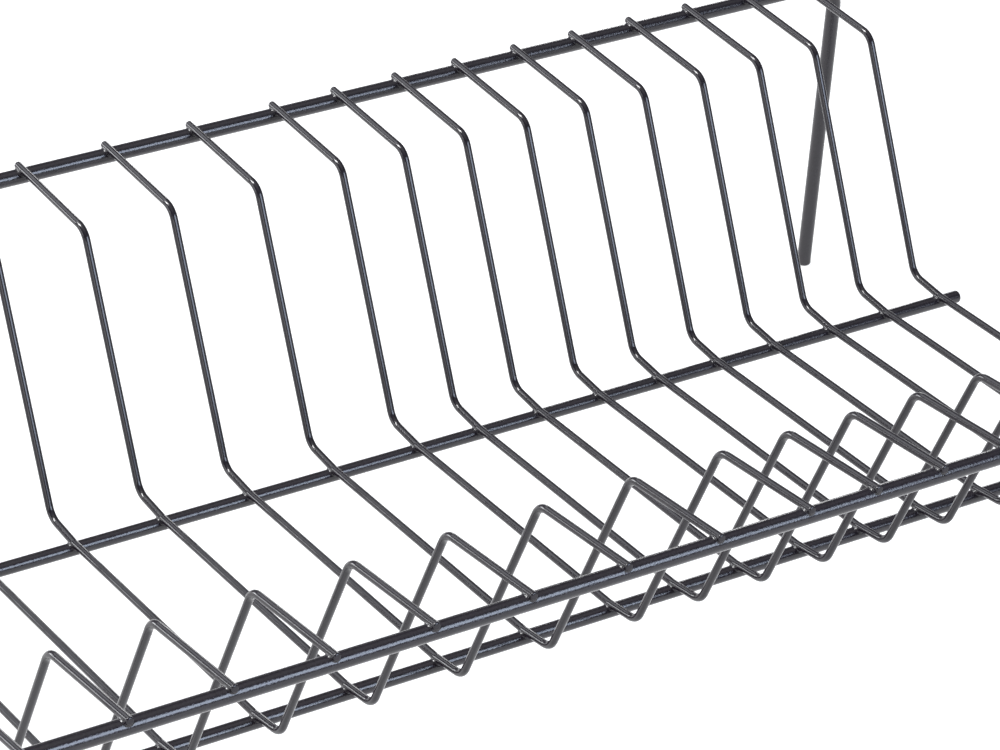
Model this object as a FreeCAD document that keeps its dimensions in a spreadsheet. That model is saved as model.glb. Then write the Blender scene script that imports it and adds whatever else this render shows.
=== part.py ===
"""Welded wire dish drying rack.

Bent wires, laid side by side along X, make a trough with two sloping walls and a nearly flat
flange on top of each wall.  They are welded on top of two straight base rods and two frame rods.
Each frame rod is bent down at both ends and so makes two legs, splayed a little outwards.

Frame: +X along the rack, +Y to the rear, +Z up.  The origin is on the table, under the middle of
the rack.  All sizes are in millimetres.
"""

import FreeCAD, Part
import math
import os

import Sketcher

Vector = FreeCAD.Vector

WIDE_GAPS = 8      # gaps at the wider pitch, counted from the left end
NARROW_GAPS = 9    # gaps at the narrower pitch, up to the right end

SIZES = {
    "wire_dia": 3.2,
    "frame_rod_dia": 6.5,       # upper rods and their legs
    "base_rod_dia": 5.6,        # rods under the trough
    "wide_pitch": 39.6,         # wire to wire
    "narrow_pitch": 30.0,
    "base_height": 46.3,        # table to the centre line of the wires' flat run
    "kink_y": 70.0,             # middle of the rack to the end of the flat run
    "toe_y": 88.7,              # to the corner where the wall starts
    "toe_rise": 2.1,            # rises are from the flat run's centre line
    "shoulder_y": 133.8,        # to the corner between wall and flange
    "shoulder_rise": 99.6,
    "tip_y": 190.5,             # to the cut end of the flange
    "tip_rise": 103.6,
    "wire_bend_radius": 8.0,    # to the centre line, as is the leg's
    "leg_bend_radius": 12.0,
    "frame_rod_y": 187.2,
    "base_rod_y": 70.8,
    "base_rod_overhang": 11.0,  # past the centre of the last wire
    "leg_overhang": 21.4,       # leg's centre line past the centre of the last wire
    "leg_splay": 2.9,           # degrees from upright
    "weld_depth": 1.3,          # how far a rod sits into a wire where they are welded
    "wire_end_round": 0.7,
    "rod_end_round": 1.3,
}

HALF_SPAN = f"({WIDE_GAPS} * sizes.wide_pitch + {NARROW_GAPS} * sizes.narrow_pitch) / 2"
FLANGE_SLOPE = "(sizes.tip_rise - sizes.shoulder_rise) / (sizes.tip_y - sizes.shoulder_y)"
FRAME_ROD_RISE = (
    f"(sizes.shoulder_rise + (sizes.frame_rod_y - sizes.shoulder_y) * {FLANGE_SLOPE}"
    " - ((sizes.frame_rod_dia + sizes.wire_dia) / 2 - sizes.weld_depth)"
    f" / cos(atan({FLANGE_SLOPE})))"
)
BASE_ROD_DROP = "((sizes.base_rod_dia + sizes.wire_dia) / 2 - sizes.weld_depth)"
LEG_LENGTH = f"((sizes.base_height + {FRAME_ROD_RISE}) / cos(sizes.leg_splay * 1 deg))"

# Sketcher numbers: the sketch's origin, the points of a line or an arc, and a circle's centre.
ORIGIN = (-1, 1)
START, END, CENTRE = 1, 2, 3


def make_sheet(doc):
    """Write the driving sizes, one named cell each."""
    sheet = doc.addObject("Spreadsheet::Sheet", "sizes")
    for row, (name, value) in enumerate(SIZES.items(), start=1):
        sheet.set(f"A{row}", name)
        sheet.set(f"B{row}", str(value))
        sheet.setAlias(f"B{row}", name)
    doc.recompute()


def origin_plane(body, role):
    return next(feature for feature in body.Origin.OriginFeatures if feature.Role == role)


def add_sketch(body, name, role):
    """Start a sketch on one of the body's own origin planes."""
    sketch = body.newObject("Sketcher::SketchObject", f"{body.Name}_{name}")
    sketch.AttachmentSupport = (origin_plane(body, role), [""])
    sketch.MapMode = "FlatFace"
    return sketch


def constrain(sketch, *definition):
    return sketch.addConstraint(Sketcher.Constraint(*definition))


def drive(sketch, kind, geometry, expression):
    """Add a dimension to a sketch and bind it to the sheet."""
    index = constrain(sketch, kind, *geometry, sketch.evalExpression(expression))
    sketch.setExpression(f"Constraints[{index}]", expression)


def drive_place(sketch, geometry, point, place):
    """Bind a point's distances from the sketch's origin; None leaves one of them free."""
    for kind, expression in zip(("DistanceX", "DistanceY"), place):
        if expression is not None:
            drive(sketch, kind, (*ORIGIN, geometry, point), expression)


def place_vector(sketch, place):
    across, up = (sketch.evalExpression(expression or "0") for expression in place)
    return Vector(across, up, 0)


def add_circle(sketch, place, diameter):
    circle = Part.Circle(place_vector(sketch, place), Vector(0, 0, 1), SIZES[diameter] / 2)
    index = sketch.addGeometry(circle)
    drive(sketch, "Diameter", (index,), f"sizes.{diameter}")
    drive_place(sketch, index, CENTRE, place)


def add_section(body, role, diameter):
    """Sketch the round section of a wire or rod about the body's origin."""
    sketch = add_sketch(body, "section", role)
    add_circle(sketch, ("0", "0"), diameter)
    return sketch


def bend_arc(before, corner, after, radius):
    """Return the arc that rounds a corner, its ends along the path, and if it turns left."""
    incoming = (corner - before).normalize()
    outgoing = (after - corner).normalize()
    lead = radius * math.tan(incoming.getAngle(outgoing) / 2)
    first = corner - incoming * lead
    last = corner + outgoing * lead
    turns_left = incoming.cross(outgoing).z > 0
    side = radius if turns_left else -radius
    centre = first + Vector(-incoming.y, incoming.x, 0) * side
    ends = (first, last) if turns_left else (last, first)
    angles = [math.atan2(end.y - centre.y, end.x - centre.x) for end in ends]
    arc = Part.ArcOfCircle(Part.Circle(centre, Vector(0, 0, 1), radius), *angles)
    return arc, first, last, turns_left


def add_bent_path(body, role, corners, radius):
    """Sketch a path from the body's origin through corners, each rounded by a tangent arc.

    corners holds the (across, up) expressions of each corner, with the path's end last.  The
    first run lies on the sketch's first axis.
    """
    sketch = add_sketch(body, "path", role)
    points = [Vector(0, 0, 0)] + [place_vector(sketch, corner) for corner in corners]
    bends = [
        bend_arc(*points[i - 1:i + 2], SIZES[radius])
        for i in range(1, len(points) - 1)
    ]
    run_starts = [points[0]] + [last for _, _, last, _ in bends]
    run_ends = [first for _, first, _, _ in bends] + [points[-1]]
    runs = [sketch.addGeometry(Part.LineSegment(*ends)) for ends in zip(run_starts, run_ends)]
    constrain(sketch, "Coincident", runs[0], START, *ORIGIN)
    constrain(sketch, "Horizontal", runs[0])

    for i, (arc, _, _, turns_left) in enumerate(bends):
        index = sketch.addGeometry(arc)
        entry, leave = (START, END) if turns_left else (END, START)
        constrain(sketch, "Tangent", runs[i], END, index, entry)
        constrain(sketch, "Tangent", index, leave, runs[i + 1], START)
        drive(sketch, "Radius", (index,), f"sizes.{radius}")
        corner = sketch.addGeometry(Part.Point(points[i + 1]), True)
        constrain(sketch, "PointOnObject", corner, START, runs[i])
        constrain(sketch, "PointOnObject", corner, START, runs[i + 1])
        drive_place(sketch, corner, START, corners[i])
    drive_place(sketch, runs[-1], END, corners[-1])
    return sketch


def add_feature(body, kind, name, **properties):
    feature = body.newObject(f"PartDesign::{kind}", f"{body.Name}_{name}")
    for key, value in properties.items():
        setattr(feature, key, value)
    return feature


def add_mirrored_bend(body, section, path, role):
    """Sweep half of a bent wire or rod, and mirror it about the body's origin plane."""
    add_feature(body, "AdditivePipe", "sweep", Profile=section, Spine=path)
    body.Document.recompute()
    mirror = add_feature(body, "Mirrored", "mirror", TransformMode="Whole shape")
    mirror.MirrorPlane = (origin_plane(body, role), [""])
    body.Tip = mirror


def round_ends(body, radius):
    """Round the edges of the cut ends, which are the body's only flat faces."""
    body.Document.recompute()
    base = body.Tip
    shape = base.Shape
    ends = [face for face in shape.Faces if isinstance(face.Surface, Part.Plane)]
    edges = [
        f"Edge{number}"
        for number, edge in enumerate(shape.Edges, start=1)
        if any(edge.isSame(end_edge) for end in ends for end_edge in end.Edges)
    ]
    fillet = add_feature(body, "Fillet", "end_rounding", Base=(base, edges))
    fillet.setExpression("Radius", f"sizes.{radius}")
    body.Tip = fillet


def add_body(doc, name):
    body = doc.addObject("PartDesign::Body", name)
    body.Label = name
    return body


def make_wire(doc, name, place_x):
    """One trough wire, bent in its own YZ plane, with a shallow weld seat over each rod."""
    body = add_body(doc, name)
    section = add_section(body, "XZ_Plane", "wire_dia")
    corners = [
        ("sizes.kink_y", None),
        ("sizes.toe_y", "sizes.toe_rise"),
        ("sizes.shoulder_y", "sizes.shoulder_rise"),
        ("sizes.tip_y", "sizes.tip_rise"),
    ]
    path = add_bent_path(body, "YZ_Plane", corners, "wire_bend_radius")
    add_mirrored_bend(body, section, path, "XZ_Plane")
    round_ends(body, "wire_end_round")

    seats = add_sketch(body, "weld_seats", "YZ_Plane")
    for side in ("", "-"):
        add_circle(seats, (f"{side}sizes.frame_rod_y", FRAME_ROD_RISE), "frame_rod_dia")
        add_circle(seats, (f"{side}sizes.base_rod_y", f"-{BASE_ROD_DROP}"), "base_rod_dia")
    pocket = add_feature(body, "Pocket", "seats", Profile=seats, SideType="Symmetric")
    pocket.setExpression("Length", "sizes.wire_dia * 2")
    body.Tip = pocket

    body.setExpression(".Placement.Base.x", place_x)
    body.setExpression(".Placement.Base.z", "sizes.base_height")


def make_frame_rod(doc, name, side):
    """One upper rod with a leg at each end; side is 1 at the rear and -1 at the front."""
    body = add_body(doc, name)
    section = add_section(body, "YZ_Plane", "frame_rod_dia")
    leg_x = f"{HALF_SPAN} + sizes.leg_overhang"
    corners = [(leg_x, None), (leg_x, f"-{LEG_LENGTH} - sizes.frame_rod_dia")]
    path = add_bent_path(body, "XZ_Plane", corners, "leg_bend_radius")
    add_mirrored_bend(body, section, path, "YZ_Plane")

    # The legs are cut level with the table, so the cut is tilted back by the splay.
    cut = add_sketch(body, "level_cut", "XY_Plane")
    cut.AttachmentOffset = FreeCAD.Placement(
        Vector(0, 0, 0), FreeCAD.Rotation(Vector(-side, 0, 0), SIZES["leg_splay"]))
    cut.setExpression(".AttachmentOffset.Base.z", f"-{LEG_LENGTH}")
    cut.setExpression(".AttachmentOffset.Rotation.Angle", "sizes.leg_splay * 1 deg")
    for end in ("", "-"):
        add_leg_circle(cut, f"{end}({leg_x})")
    pocket = add_feature(body, "Pocket", "cut", Profile=cut)
    pocket.setExpression("Length", "sizes.frame_rod_dia * 2")
    body.Tip = pocket
    round_ends(body, "rod_end_round")

    body.Placement = FreeCAD.Placement(
        Vector(0, 0, 0), FreeCAD.Rotation(Vector(side, 0, 0), SIZES["leg_splay"]))
    body.setExpression(".Placement.Base.y", f"{side} * sizes.frame_rod_y")
    body.setExpression(".Placement.Base.z", f"sizes.base_height + {FRAME_ROD_RISE}")
    body.setExpression(".Placement.Rotation.Angle", "sizes.leg_splay * 1 deg")


def add_leg_circle(sketch, across):
    """Sketch a circle about a leg's foot, twice as wide as the leg."""
    circle = Part.Circle(place_vector(sketch, (across, "0")), Vector(0, 0, 1),
                         SIZES["frame_rod_dia"])
    index = sketch.addGeometry(circle)
    drive(sketch, "Radius", (index,), "sizes.frame_rod_dia")
    drive_place(sketch, index, CENTRE, (across, "0"))


def make_base_rod(doc, name, side):
    """One straight rod under the trough; side is 1 at the rear and -1 at the front."""
    body = add_body(doc, name)
    section = add_section(body, "YZ_Plane", "base_rod_dia")
    rod = add_feature(body, "Pad", "rod", Profile=section, SideType="Symmetric")
    rod.setExpression("Length", f"2 * ({HALF_SPAN} + sizes.base_rod_overhang)")
    body.Tip = rod
    round_ends(body, "rod_end_round")
    body.setExpression(".Placement.Base.y", f"{side} * sizes.base_rod_y")
    body.setExpression(".Placement.Base.z", f"sizes.base_height - {BASE_ROD_DROP}")


def wire_x(index):
    """Expression for a wire's place along X: wide gaps first, then narrow ones."""
    wide = min(index, WIDE_GAPS)
    narrow = index - wide
    return (f"{wide - WIDE_GAPS / 2} * sizes.wide_pitch"
            f" + {narrow - NARROW_GAPS / 2} * sizes.narrow_pitch")


def check(doc):
    """Stop if any object failed, or if a sub-part isn't one valid solid."""
    for item in doc.Objects:
        if {"Invalid", "Error"} & set(item.State):
            raise RuntimeError(f"{item.Label}: {item.State}")
    for body in doc.findObjects("PartDesign::Body"):
        if body.Shape.isNull() or not body.Shape.isValid() or len(body.Shape.Solids) != 1:
            raise RuntimeError(f"{body.Label}: not one valid solid")


def main():
    doc = FreeCAD.newDocument("dish_drying_rack")
    make_sheet(doc)
    for place, side in (("rear", 1), ("front", -1)):
        make_frame_rod(doc, f"{place}_frame_rod", side)
        make_base_rod(doc, f"{place}_base_rod", side)
    for index in range(WIDE_GAPS + NARROW_GAPS + 1):
        make_wire(doc, f"wire_{index + 1:02d}", wire_x(index))
    doc.recompute()
    check(doc)

    os.makedirs("parts", exist_ok=True)
    for body in doc.findObjects("PartDesign::Body"):
        body.Shape.exportStep(f"parts/{body.Label}.step")


main()
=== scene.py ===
"""Looks of the welded wire dish rack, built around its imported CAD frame. All sizes in metres."""

import math
import random

import bmesh
import bpy
from mathutils import Matrix, Vector


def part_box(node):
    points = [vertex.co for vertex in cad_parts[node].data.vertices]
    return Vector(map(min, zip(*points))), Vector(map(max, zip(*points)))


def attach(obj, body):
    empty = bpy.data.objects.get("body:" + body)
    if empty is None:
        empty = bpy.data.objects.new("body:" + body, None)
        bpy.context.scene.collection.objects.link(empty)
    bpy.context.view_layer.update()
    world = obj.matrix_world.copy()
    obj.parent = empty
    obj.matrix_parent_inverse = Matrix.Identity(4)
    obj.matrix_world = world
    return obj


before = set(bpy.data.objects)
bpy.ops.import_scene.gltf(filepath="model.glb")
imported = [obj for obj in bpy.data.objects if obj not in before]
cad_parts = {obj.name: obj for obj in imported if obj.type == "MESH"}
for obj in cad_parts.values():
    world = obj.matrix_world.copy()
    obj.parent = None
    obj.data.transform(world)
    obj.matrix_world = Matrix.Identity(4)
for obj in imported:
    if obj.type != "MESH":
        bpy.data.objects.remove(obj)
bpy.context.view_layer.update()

# The main view: a long lens from the front left, looking down.
CAMERA_PLACE = Vector((-0.8645, -1.2961, 0.9782))
CAMERA_YAW = math.radians(34.17)      # from +Y towards +X
CAMERA_PITCH = math.radians(28.85)    # down
CAMERA_ROLL = math.radians(2.53)
CAMERA_LENS = 165.3                   # millimetres, as is the sensor's width
CAMERA_SENSOR = 36
CAMERA_REACH = 20                     # metres to the farthest thing it sees

# Sizes that the CAD has and the frame doesn't state.
WIRE_RADIUS = 0.0016
WIRE_END_ROUND = 0.0007
FRAME_ROD_RADIUS = 0.00325
BASE_ROD_RADIUS = 0.0028
SHOULDER = Vector((0.1338, 0.0996))   # Y, and Z above the wires' flat run
TIP = Vector((0.1905, 0.1036))
KINK = Vector((0.0700, 0.0))
TOE = Vector((0.0887, 0.0021))
BASE_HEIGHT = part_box("wire_01")[0].z + WIRE_RADIUS

# Black powder coat.
COAT_DARK = (0.0062, 0.0050, 0.0074, 1)
COAT_PALE = (0.0115, 0.0094, 0.0135, 1)
COAT_ROUGHNESS = (0.16, 0.2)
MOTTLE_SCALE = 900
PEEL_SCALE = 1700
PEEL_DEPTH = 0.0001

# Studio: a white floor and sweep, with softboxes that face the rack.
FLOOR_SIZE = 12
FLOOR_GLOW = 0.85
LIGHT_AIM = Vector((0, 0, 0.1))
KEY_DISTANCE = 2.4
FAR_DISTANCE = 4.0
COOL_WHITE = (0.95, 0.97, 1.0)
SKY_LEVELS = ((0, 1.0), (0.1, 0.85), (0.25, 0.5), (0.45, 0.25), (0.7, 0.08), (1, 0.03))

WELD_RADIUS = 0.0006                  # of the concave fillet between a wire and a rod
WELD_VARIATION = 0.2                  # of the radius, either way
WELD_STATIONS = 40                    # around one weld
WELD_ARC_STEPS = 5                    # across the fillet
WELD_ROOT = 0.0003                    # how far the fillet's hidden back lies in the metal
WELD_SEARCH_STEPS = 40                # halvings that find the rolling ball's place
SLOPE_STEP = 1e-6                     # for the slope of a distance


def add_camera():
    """The camera at its stated place, turned by its yaw, pitch and roll."""
    forward = Vector((
        math.sin(CAMERA_YAW) * math.cos(CAMERA_PITCH),
        math.cos(CAMERA_YAW) * math.cos(CAMERA_PITCH),
        -math.sin(CAMERA_PITCH),
    ))
    level = Vector((math.cos(CAMERA_YAW), -math.sin(CAMERA_YAW), 0))
    upright = level.cross(forward)
    right = level * math.cos(CAMERA_ROLL) + upright * math.sin(CAMERA_ROLL)
    up = upright * math.cos(CAMERA_ROLL) - level * math.sin(CAMERA_ROLL)
    data = bpy.data.cameras.new("camera")
    data.lens = CAMERA_LENS
    data.sensor_width = CAMERA_SENSOR
    data.clip_end = CAMERA_REACH
    camera = bpy.data.objects.new("camera", data)
    camera.matrix_world = (
        Matrix.Translation(CAMERA_PLACE)
        @ Matrix((right, up, -forward)).transposed().to_4x4()
    )
    bpy.context.scene.collection.objects.link(camera)
    bpy.context.scene.camera = camera


def coating_material(name, specular_level, peel_strength):
    """Black powder coat: a glossy skin with fine orange peel over a charcoal body."""
    material = bpy.data.materials.new(name)
    material.use_nodes = True
    nodes, links = material.node_tree.nodes, material.node_tree.links
    shader = nodes["Principled BSDF"]
    shader.inputs["Specular IOR Level"].default_value = specular_level
    shader.inputs["Coat Weight"].default_value = 0.1
    shader.inputs["Coat Roughness"].default_value = 0.06

    place = nodes.new("ShaderNodeTexCoord")
    mottle = nodes.new("ShaderNodeTexNoise")
    mottle.inputs["Scale"].default_value = MOTTLE_SCALE
    mottle.inputs["Detail"].default_value = 4
    links.new(place.outputs["Object"], mottle.inputs["Vector"])
    colour = nodes.new("ShaderNodeValToRGB")
    colour.color_ramp.elements[0].position = 0.3
    colour.color_ramp.elements[0].color = COAT_DARK
    colour.color_ramp.elements[1].position = 0.75
    colour.color_ramp.elements[1].color = COAT_PALE
    links.new(mottle.outputs["Fac"], colour.inputs["Fac"])
    links.new(colour.outputs["Color"], shader.inputs["Base Color"])

    roughness = nodes.new("ShaderNodeMapRange")
    roughness.inputs["To Min"].default_value = COAT_ROUGHNESS[0]
    roughness.inputs["To Max"].default_value = COAT_ROUGHNESS[1]
    links.new(mottle.outputs["Fac"], roughness.inputs["Value"])
    links.new(roughness.outputs["Result"], shader.inputs["Roughness"])

    peel = nodes.new("ShaderNodeTexNoise")
    peel.inputs["Scale"].default_value = PEEL_SCALE
    peel.inputs["Detail"].default_value = 2
    links.new(place.outputs["Object"], peel.inputs["Vector"])
    bump = nodes.new("ShaderNodeBump")
    bump.inputs["Strength"].default_value = peel_strength
    bump.inputs["Distance"].default_value = PEEL_DEPTH
    links.new(peel.outputs["Fac"], bump.inputs["Height"])
    links.new(bump.outputs["Normal"], shader.inputs["Normal"])
    return material


def rounded_end_distance(radial, beyond):
    """Distance to the wire's surface near its cut end; beyond is measured past the end."""
    out = Vector((radial - WIRE_RADIUS, beyond)) + Vector((WIRE_END_ROUND, WIRE_END_ROUND))
    inside = min(max(out.x, out.y), 0)
    return inside + math.hypot(max(out.x, 0), max(out.y, 0)) - WIRE_END_ROUND


def segment_distance(point, start, end):
    """Distance from a point to the straight line between two others."""
    run = end - start
    share = max(0.0, min(1.0, (point - start).dot(run) / run.length_squared))
    return (point - start - run * share).length


def flange_distance(point):
    """Distance from a point, about a weld at X = 0, to the flange wire with its cut end."""
    along = (TIP - SHOULDER).normalized()
    offset = Vector((point.y, point.z)) - TIP
    beyond = offset.dot(along)
    side = offset.dot(Vector((-along.y, along.x)))
    return rounded_end_distance(math.hypot(point.x, side), beyond)


def base_distance(point):
    """Distance from a point, about a weld at X = 0, to the wire's kink over a base rod."""
    flat = Vector((0, point.y, point.z))
    corners = [Vector((0, 0, 0)), Vector((0, KINK.x, KINK.y)), Vector((0, TOE.x, TOE.y))]
    off_axis = min(segment_distance(flat, *corners[i:i + 2]) for i in range(2))
    return math.hypot(point.x, off_axis) - WIRE_RADIUS


def surface_normal(distance, point):
    """Direction in which the distance grows fastest, away from the wire."""
    slopes = []
    for axis in range(3):
        ahead, behind = point.copy(), point.copy()
        ahead[axis] += SLOPE_STEP
        behind[axis] -= SLOPE_STEP
        slopes.append(distance(ahead) - distance(behind))
    return Vector(slopes).normalized()


def ball_centre(distance, rod, rod_radius, radius, angle):
    """Centre of the ball that rolls round a weld, touching the wire and the rod, at one angle."""
    across, along = math.cos(angle), math.sin(angle)

    def at(reach):
        """The ball's centre this far out from the weld's middle, resting on the rod."""
        lift = math.sqrt(max((rod_radius + radius) ** 2 - (reach * along) ** 2, 0))
        return Vector((reach * across, rod.x + reach * along, rod.y + lift))

    # A ball farther out than this no longer rests on the rod, or is well clear of the wire.
    near, far = 0.0, (rod_radius + radius) / max(abs(along), 0.5)
    for _ in range(WELD_SEARCH_STEPS):
        middle = (near + far) / 2
        if distance(at(middle)) < radius:
            near = middle
        else:
            far = middle
    return at(near)


def add_weld(mesh, distance, rod, rod_radius, radius, shift, front):
    """Add one closed fillet ring where a wire crosses a rod; front ones are turned half round."""
    rings = []
    for station in range(WELD_STATIONS):
        angle = 2 * math.pi * station / WELD_STATIONS
        centre = ball_centre(distance, rod, rod_radius, radius, angle)
        to_wire = -surface_normal(distance, centre)
        to_rod = -Vector((0, centre.y - rod.x, centre.z - rod.y)).normalized()
        section = [
            centre + to_wire.slerp(to_rod, step / WELD_ARC_STEPS) * radius
            for step in range(WELD_ARC_STEPS + 1)
        ]
        section.append(section[-1] + to_rod * WELD_ROOT)
        section.append(section[0] + to_wire * WELD_ROOT)
        if front:
            section = [Vector((-point.x, -point.y, point.z)) for point in section]
        lift = Vector((shift, 0, BASE_HEIGHT))
        rings.append([mesh.verts.new(point + lift) for point in section])
    for ring, following in zip(rings, rings[1:] + rings[:1]):
        for i in range(len(ring)):
            after = (i + 1) % len(ring)
            mesh.faces.new((ring[i], following[i], following[after], ring[after]))


def add_welds(name, rod_node, distance, rod_radius, seed):
    """All the welds of one rod, as one piece."""
    low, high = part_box(rod_node)
    front = low.y < 0
    dice = random.Random(seed)
    mesh = bmesh.new()
    rod = ROD_AXES[rod_radius]
    for wire in WIRES:
        radius = WELD_RADIUS * (1 + WELD_VARIATION * dice.uniform(-1, 1))
        low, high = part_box(wire)
        add_weld(mesh, distance, rod, rod_radius, radius, (low.x + high.x) / 2, front)
    bmesh.ops.recalc_face_normals(mesh, faces=mesh.faces)
    data = bpy.data.meshes.new(name)
    mesh.to_mesh(data)
    mesh.free()
    data.shade_smooth()
    piece = bpy.data.objects.new(name, data)
    bpy.context.scene.collection.objects.link(piece)
    piece.data.materials.append(ROD_COATING)
    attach(piece, "root")


def rod_axes():
    """(Y, Z above the wires' flat run) of the frame rod's and the base rod's axes."""
    low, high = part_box("rear_base_rod")
    base = Vector(((low.y + high.y) / 2, (low.z + high.z) / 2 - BASE_HEIGHT))
    low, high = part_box("rear_frame_rod")
    frame_axis = Vector((low.y + FRAME_ROD_RADIUS, high.z - FRAME_ROD_RADIUS - BASE_HEIGHT))
    return {FRAME_ROD_RADIUS: frame_axis, BASE_ROD_RADIUS: base}


def add_floor():
    """A matt white table that glows enough to show as plain white, with no shadow."""
    bpy.ops.mesh.primitive_plane_add(size=FLOOR_SIZE)
    floor = bpy.context.object
    floor.name = "floor"
    material = bpy.data.materials.new("floor")
    material.use_nodes = True
    shader = material.node_tree.nodes["Principled BSDF"]
    shader.inputs["Base Color"].default_value = (0.3, 0.3, 0.3, 1)
    shader.inputs["Roughness"].default_value = 0.9
    shader.inputs["Specular IOR Level"].default_value = 0
    shader.inputs["Emission Color"].default_value = (1, 1, 1, 1)
    shader.inputs["Emission Strength"].default_value = FLOOR_GLOW
    floor.data.materials.append(material)


def add_softbox(name, direction, distance, size, radiance, colour=(1, 1, 1)):
    """A rectangular light that faces the rack; radiance doesn't change with its size."""
    data = bpy.data.lights.new(name, "AREA")
    data.shape = "RECTANGLE"
    data.size, data.size_y = size
    data.energy = radiance * math.pi * size[0] * size[1]
    data.color = colour
    lamp = bpy.data.objects.new(name, data)
    lamp.location = LIGHT_AIM + Vector(direction).normalized() * distance
    lamp.rotation_euler = (LIGHT_AIM - lamp.location).to_track_quat("-Z", "Y").to_euler()
    bpy.context.scene.collection.objects.link(lamp)


def add_sky():
    """Light that is bright at the horizon, like a white sweep, and dim overhead."""
    world = bpy.data.worlds.new("studio")
    world.use_nodes = True
    nodes, links = world.node_tree.nodes, world.node_tree.links
    place = nodes.new("ShaderNodeTexCoord")
    split = nodes.new("ShaderNodeSeparateXYZ")
    links.new(place.outputs["Generated"], split.inputs["Vector"])
    ramp = nodes.new("ShaderNodeValToRGB")
    for height, level in SKY_LEVELS:
        if height in (0, 1):
            element = ramp.color_ramp.elements[height]
        else:
            element = ramp.color_ramp.elements.new(height)
        element.color = (*(tint * level for tint in COOL_WHITE), 1)
    links.new(split.outputs["Z"], ramp.inputs["Fac"])
    links.new(ramp.outputs["Color"], nodes["Background"].inputs["Color"])
    bpy.context.scene.world = world


def add_studio():
    """The sky, and softboxes placed where the bright lines on the rods and wires need them."""
    add_sky()
    # The stripe along the rods, which fades out to the right.
    add_softbox("key", (0.24, -0.853, 0.462), KEY_DISTANCE, (1.65, 1.15), 10.0, (0.70, 0.80, 1.0))
    # The soft sheen on the flanges and on the wires' flat runs, and their bright edges.
    add_softbox("rear", (-0.25, 0.66, 0.72), FAR_DISTANCE, (4.0, 1.7), 2.2, (0.92, 0.96, 1.0))
    add_softbox("rear left", (-0.53, 0.85, 0.19), FAR_DISTANCE, (1.4, 1.0), 11.0, COOL_WHITE)
    add_softbox("rear right", (0.58, 0.80, 0.16), FAR_DISTANCE, (0.5, 0.5), 8.0)
    # The lines down the walls.
    add_softbox("left", (-0.91, 0.37, 0.19), FAR_DISTANCE, (2.4, 1.0), 5.0, COOL_WHITE)
    add_softbox("front left", (-0.8, -0.55, 0.15), FAR_DISTANCE, (3.0, 0.9), 3.0)
    # The white spots in the wires' bends.
    add_softbox("glint", (-0.45, 0.40, 0.79), FAR_DISTANCE, (0.9, 2.2), 36.0)


# The rods are a little glossier than the wires and show more orange peel.
WIRE_COATING = coating_material("wire_coating", specular_level=0.36, peel_strength=0.06)
ROD_COATING = coating_material("rod_coating", specular_level=0.5, peel_strength=0.8)
WIRES = sorted(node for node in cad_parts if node.startswith("wire_"))
ROD_AXES = rod_axes()
WELDED_RODS = (
    ("rear_frame_rod", flange_distance, FRAME_ROD_RADIUS),
    ("rear_base_rod", base_distance, BASE_ROD_RADIUS),
    ("front_frame_rod", flange_distance, FRAME_ROD_RADIUS),
    ("front_base_rod", base_distance, BASE_ROD_RADIUS),
)

for name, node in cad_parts.items():
    node.data.materials.clear()
    node.data.materials.append(WIRE_COATING if name in WIRES else ROD_COATING)
for seed, (rod, distance, rod_radius) in enumerate(WELDED_RODS):
    add_welds(f"{rod}_welds", rod, distance, rod_radius, seed)
bpy.context.scene.view_settings.view_transform = "Standard"
add_camera()
add_floor()
add_studio()
